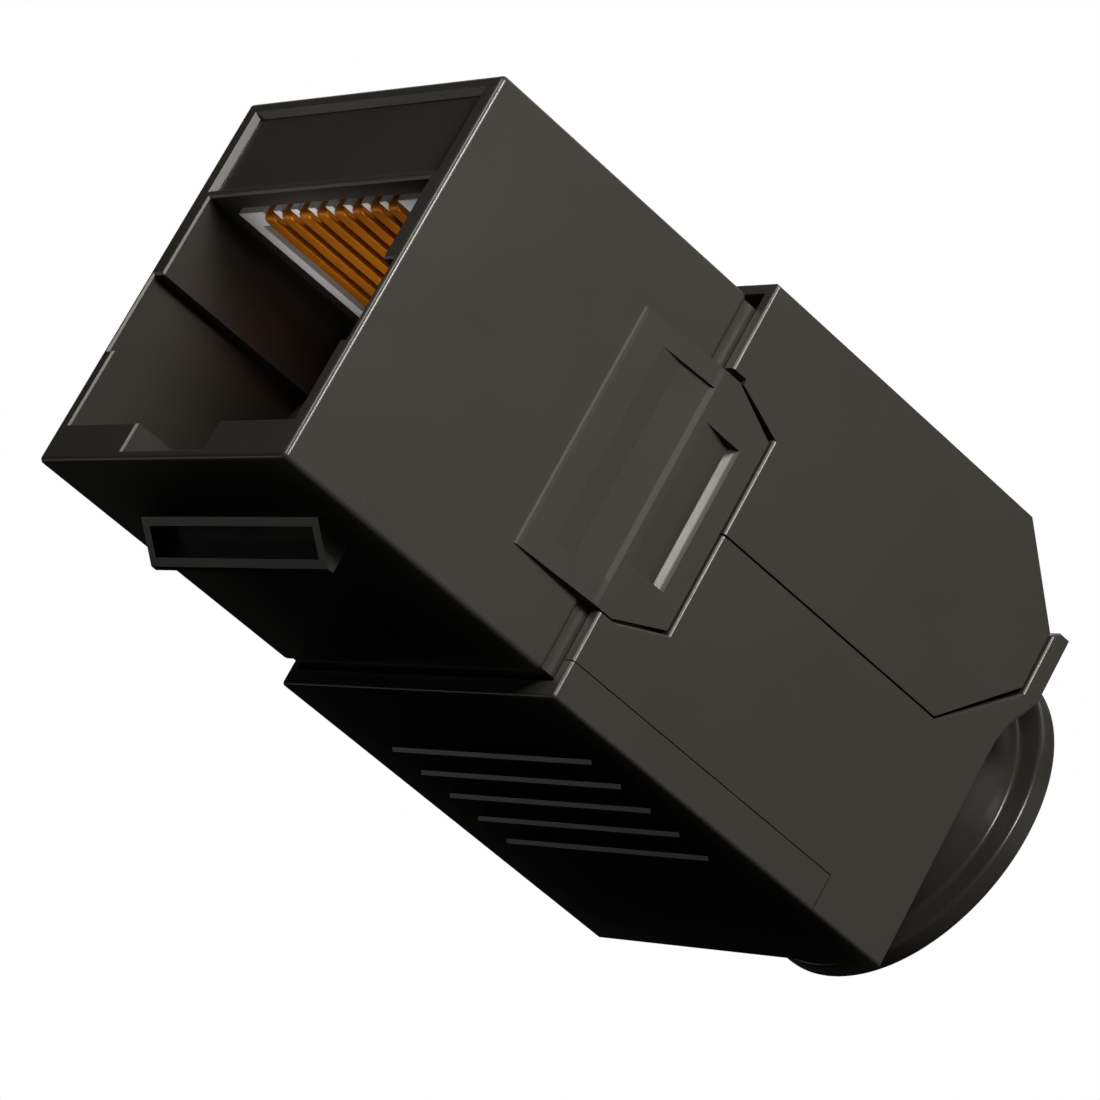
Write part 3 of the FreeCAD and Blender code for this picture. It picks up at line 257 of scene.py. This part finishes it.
section = bench.add(
    "GeometryNodeCurvePrimitiveQuadrilateral", {}, Width=wires["Width"], Height=wires["Thickness"]
)
section = bench.add(
    "GeometryNodeFilletCurve", {"mode": "POLY"}, Curve=section, Count=3, Radius=wires["Edge"]
)
one = bench.add("GeometryNodeCurveToMesh", {}, Curve=path, Profile_Curve=section, Fill_Caps=True)
row = bench.add(
    "GeometryNodeMeshLine",
    {"mode": "OFFSET"},
    Count=wires["Count"],
    Start_Location=bench.add("ShaderNodeCombineXYZ", {}, wires["First"]),
    Offset=bench.add("ShaderNodeCombineXYZ", {}, wires["Pitch"]),
)
copies = bench.add("GeometryNodeInstanceOnPoints", {}, Points=row, Instance=one)
copies = bench.add("GeometryNodeRealizeInstances", {}, copies)
copies = bench.add("GeometryNodeSetMaterial", {}, copies, Material=gold.material)
bench.feed(bench.nodes.new("NodeGroupOutput").inputs[0], copies)


def contact_row(name, replaced):
    """One row of contacts that have their legs in line, as one plain mesh."""
    width = 0.0006
    thickness = 0.0002
    run_height = 0.003
    knee = 0.006
    tip = (0.0094, -0.0002)
    boxes = [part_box(node) for node in replaced]
    centres = [(low[0] + high[0]) / 2 for low, high in boxes]
    low, high = boxes[0]
    front = low[1] + thickness / 2
    roof = high[2] - thickness / 2
    leg = high[1] - thickness / 2
    profile = [tip, (knee, run_height), (front, run_height), (front, roof), (leg, roof), (leg, low[2])]
    mesh = bpy.data.meshes.new(name + "_line")
    edges = [(index, index + 1) for index in range(len(profile) - 1)]
    mesh.from_pydata([(0.0, back, height) for back, height in profile], edges, [])
    line = bpy.data.objects.new(name + "_line", mesh)
    bpy.context.scene.collection.objects.link(line)
    modifier = line.modifiers.new("ribbon", "NODES")
    modifier.node_group = ribbon
    sizes = {
        "Width": width,
        "Thickness": thickness,
        "Bend": 0.00012,
        "Edge": 0.00004,
        "First": centres[0],
        "Pitch": centres[1] - centres[0],
        "Count": len(replaced),
    }
    for label, size in sizes.items():
        modifier[ribbon_inputs[label].identifier] = size
    made = line.evaluated_get(bpy.context.evaluated_depsgraph_get())
    finished = bpy.data.meshes.new_from_object(made)
    bpy.data.objects.remove(line)
    finished.shade_smooth()
    finished.set_sharp_from_angle(angle=math.radians(40.0))
    piece = bpy.data.objects.new(name, finished)
    bpy.context.scene.collection.objects.link(piece)
    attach(piece, "jack")
    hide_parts(*replaced)


contact_row("contacts_front_row", ["contact_1", "contact_3", "contact_5", "contact_7"])
contact_row("contacts_rear_row", ["contact_2", "contact_4", "contact_6", "contact_8"])

# Circuit board
# Glass-fibre laminate with copper tracks under a green lacquer.
# The contacts' legs and the terminals' tails are soldered into it.

board = Finish("board_laminate", Roughness=0.35, IOR=1.5)
tracks = board.add(
    "ShaderNodeTexBrick", {}, Vector=board.place, Scale=420.0, Mortar_Size=0.03, out="Fac"
)
weave = board.grain(per_metre=6000.0, detail=1.0)
board.set("Base Color", board.between(tracks, (0.010, 0.095, 0.035), (0.018, 0.16, 0.06)))
board.relief(0.3 * weave + tracks, depth=1.5e-5)
dress(["circuit_board"], board.material)

# Terminals
# Eight forks stamped from bronze sheet and tinned, pressed into the terminal block.
# Each has a slit that cuts through a wire's insulation, and a tail in the circuit board.

tin = Finish("terminal_tin", Metallic=1.0)
strokes = tin.grain(per_metre=16000.0, place=tin.stretched((1.0, 1.0, 0.05)))
spangle = tin.grain(per_metre=1200.0)
tin.set("Base Color", tin.between(spangle, (0.52, 0.52, 0.50), (0.68, 0.67, 0.64)))
tin.set("Roughness", 0.28 + 0.2 * strokes)
tin.relief(strokes, depth=2e-6)
dress([f"idc_terminal_{number}" for number in range(1, 9)], tin.material)

# Terminal block and wire presser
# Both are black mouldings inside the rear block, a little darker than the shell round them.
# The block holds the terminals, and the presser sits under the lid and pushes the wires in.

inner_black = grained_plastic(
    "inner_black",
    dark=(0.028, 0.028, 0.027),
    light=(0.037, 0.037, 0.035),
    roughness=0.3,
    relief=8e-7,
)
dress(["terminal_block", "wire_presser"], inner_black)

# Rear block
# Body, lid and bottom cover are black mouldings with the same grain as the housing.
# The lid's four legs slide in grooves of the body.

rear_black = grained_plastic(
    "rear_black",
    dark=(0.036, 0.0335, 0.0287),
    light=(0.048, 0.0448, 0.0385),
    roughness=0.3,
    relief=8e-7,
)
dress(["rear_body", "rear_lid", "bottom_cover"], rear_black)

# Cable collar
# A round black moulding that sits in the rear wall and guides the cable.
# It is a turned form: flange, neck, drum and rim round one bore, with small rounds.

collar_black = grained_plastic(
    "collar_black",
    dark=(0.034, 0.0318, 0.0272),
    light=(0.044, 0.0411, 0.0352),
    roughness=0.29,
    relief=8e-7,
)


def rounded(corners):
    """The closed outline through corners of (place along Y, radius, round), with arcs."""
    steps = 6
    outline = []
    for index, (along, radius, size) in enumerate(corners):
        here = Vector((along, radius))
        before = (Vector(corners[index - 1][:2]) - here).normalized()
        after = (Vector(corners[(index + 1) % len(corners)][:2]) - here).normalized()
        half_turn = before.angle(after) / 2
        centre = here + (before + after).normalized() * size / math.sin(half_turn)
        start = here + before * size / math.tan(half_turn) - centre
        sweep = (here + after * size / math.tan(half_turn) - centre).angle_signed(start)
        for step in range(steps + 1):
            outline.append(centre + Matrix.Rotation(sweep * step / steps, 2) @ start)
    return outline


def turned(name, outline, sides):
    """A closed ring mesh with that outline, round the Y axis."""
    points = []
    for side in range(sides):
        angle = 2 * math.pi * side / sides
        for along, radius in outline:
            points.append((radius * math.sin(angle), along, radius * math.cos(angle)))
    count = len(outline)
    faces = []
    for side in range(sides):
        this, following = side * count, (side + 1) % sides * count
        for index in range(count):
            ahead = (index + 1) % count
            faces.append((this + index, this + ahead, following + ahead, following + index))
    mesh = bpy.data.meshes.new(name)
    mesh.from_pydata(points, [], faces)
    mesh.shade_smooth()
    mesh.set_sharp_from_angle(angle=math.radians(30.0))
    return mesh


collar_low, collar_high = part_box("cable_collar")
collar_front, collar_back = collar_low[1], collar_high[1]
bore_radius = 0.004
flange_back, flange_radius = 0.0272, 0.005
neck_radius = 0.0046
drum_front, drum_radius = 0.02838, 0.00544
rim_front, rim_radius = 0.0315, collar_high[0]
mouth = 0.0005
small = 0.00005
collar_corners = [
    (collar_front, bore_radius, small),
    (collar_front, flange_radius, small),
    (flange_back, flange_radius, small),
    (flange_back, neck_radius, small),
    (drum_front, neck_radius, small),
    (drum_front, drum_radius, small),
    (rim_front, drum_radius, 0.00018),
    (rim_front, rim_radius, 0.00016),
    (collar_back, rim_radius, 0.00022),
    (collar_back, bore_radius + mouth, 0.0001),
    (collar_back - mouth, bore_radius, 0.0001),
]
collar_mesh = turned("cable_collar_turned", rounded(collar_corners), sides=144)
collar_mesh.materials.append(collar_black)
collar = bpy.data.objects.new("cable_collar_turned", collar_mesh)
bpy.context.scene.collection.objects.link(collar)
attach(collar, "jack")
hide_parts("cable_collar")

# Floor
# A plain pale floor under the foot. It is see-through from below and casts no shadow, because
# the jack is looked at and partly lit from below. It is bright to the eye and dim as a
# reflector.

reach = 3.0
level = cad_box[0][2]
floor_mesh = bpy.data.meshes.new("floor")
floor_mesh.from_pydata(
    [(-reach, -reach, level), (reach, -reach, level), (reach, reach, level), (-reach, reach, level)],
    [],
    [(0, 1, 2, 3)],
)
floor = bpy.data.objects.new("floor", floor_mesh)
bpy.context.scene.collection.objects.link(floor)
paper = Finish("floor_paper", Roughness=0.8, Emission_Strength=0.95)
tint = paper.between(paper.grain(per_metre=8.0), (0.80, 0.80, 0.79), (0.84, 0.84, 0.83))
paper.set("Base Color", (0.42, 0.42, 0.415, 1.0))
paper.set("Emission Color", tint)
dim = paper.add("ShaderNodeBsdfDiffuse", {}, Color=(0.06, 0.06, 0.058, 1.0))
to_eye = paper.add("ShaderNodeLightPath", {}, out="Is Camera Ray")
pale = Wire(paper, paper.shader.outputs[0])
upper = paper.add("ShaderNodeMixShader", {}, to_eye, dim, pale)
behind = paper.add("ShaderNodeNewGeometry", {}, out="Backfacing")
clear = paper.add("ShaderNodeBsdfTransparent", {})
one_sided = paper.add("ShaderNodeMixShader", {}, behind, upper, clear)
paper.feed(paper.nodes["Material Output"].inputs["Surface"], one_sided)
floor_mesh.materials.append(paper.material)
floor.visible_shadow = False

# Light
# A room that is white to the eye and nearly dark as a light, with seven soft boxes and a card.
# The key box draws the bevels and the finger slots' facets, and the main box stands near, so
# the side darkens to the rear. The low box lights the foot and ribs, and the card the port.

room = bpy.data.worlds.new("room")
room.use_nodes = True
bpy.context.scene.world = room
room.node_tree.nodes.clear()
walls = Sheet(room.node_tree)
seen = walls.add("ShaderNodeBackground", {}, Color=(1.0, 1.0, 1.0, 1.0), Strength=1.0)
lit = walls.add("ShaderNodeBackground", {}, Color=(1.0, 0.98, 0.95, 1.0), Strength=0.01)
ray = walls.add("ShaderNodeLightPath", {}, out="Is Camera Ray")
choice = walls.add("ShaderNodeMixShader", {}, ray, lit, seen)
walls.feed(walls.nodes.new("ShaderNodeOutputWorld").inputs["Surface"], choice)

middle = (Vector(cad_box[0]) + Vector(cad_box[1])) / 2


def soft_box(name, toward, distance, width, height, watts, aim=middle):
    """An area light that faces a point from a direction and isn't seen itself."""
    lamp = bpy.data.lights.new(name, "AREA")
    lamp.shape = "RECTANGLE"
    lamp.size = width
    lamp.size_y = height
    lamp.energy = watts
    lamp.color = (1.0, 0.975, 0.935)
    holder = bpy.data.objects.new(name, lamp)
    direction = Vector(toward).normalized()
    holder.matrix_world = Matrix.Translation(Vector(aim) + direction * distance) @ (
        direction.to_track_quat("Z", "Y").to_matrix().to_4x4()
    )
    holder.visible_camera = False
    bpy.context.scene.collection.objects.link(holder)
    return lamp


soft_box("key_box", (0.30, -0.89, 0.35), distance=0.6, width=0.08, height=0.12, watts=0.85)
soft_box("main_box", (0.87, -0.38, 0.34), distance=0.1, width=0.03, height=0.028, watts=0.084)
soft_box("side_box", (0.70, 0.61, 0.36), distance=0.6, width=0.9, height=0.4, watts=0.32)
soft_box("low_box", (-0.83, -0.36, -0.44), distance=0.6, width=0.08, height=0.12, watts=0.06)
soft_box("top_box", (0.0, 0.1, 1.0), distance=0.6, width=0.5, height=0.5, watts=0.6)
soft_box("left_box", (-0.95, 0.25, 0.3), distance=0.6, width=0.4, height=0.5, watts=0.5)
soft_box("back_box", (-0.3, 0.9, 0.4), distance=0.6, width=0.4, height=0.5, watts=0.15)
port_roof = (0.0, 0.004, 0.0031)
card = soft_box(
    "port_card",
    (0.05, -0.25, -0.95),
    distance=0.008,
    width=0.009,
    height=0.006,
    watts=0.00017,
    aim=port_roof,
)
card.spread = math.radians(50.0)
card.cycles.max_bounces = 0

# Camera
# The photograph's own view: from below and in front, far off, with a long lens.
# Its place and axes are fitted to the jack's corners, and its focal length is in the
# photograph's pixels.

film_width = 36.0
focal_pixels = 5197.7
photo_pixels = 1100.0
camera_data = bpy.data.cameras.new("camera")
camera_data.sensor_width = film_width
camera_data.lens = film_width * focal_pixels / photo_pixels
camera_data.clip_start = 0.01
camera_data.clip_end = 50.0
camera = bpy.data.objects.new("camera", camera_data)
eye = Vector((0.138287, -0.069674, -0.057248))
right = Vector((0.589732, 0.664901, 0.458391))
down = Vector((0.006116, 0.563904, -0.825818))
forward = Vector((-0.807576, 0.489815, 0.328486))
turn = Matrix((right, -down, -forward)).transposed().to_4x4()
camera.matrix_world = Matrix.Translation(eye) @ turn
bpy.context.scene.collection.objects.link(camera)
bpy.context.scene.camera = camera
bpy.context.scene.view_settings.view_transform = "Standard"
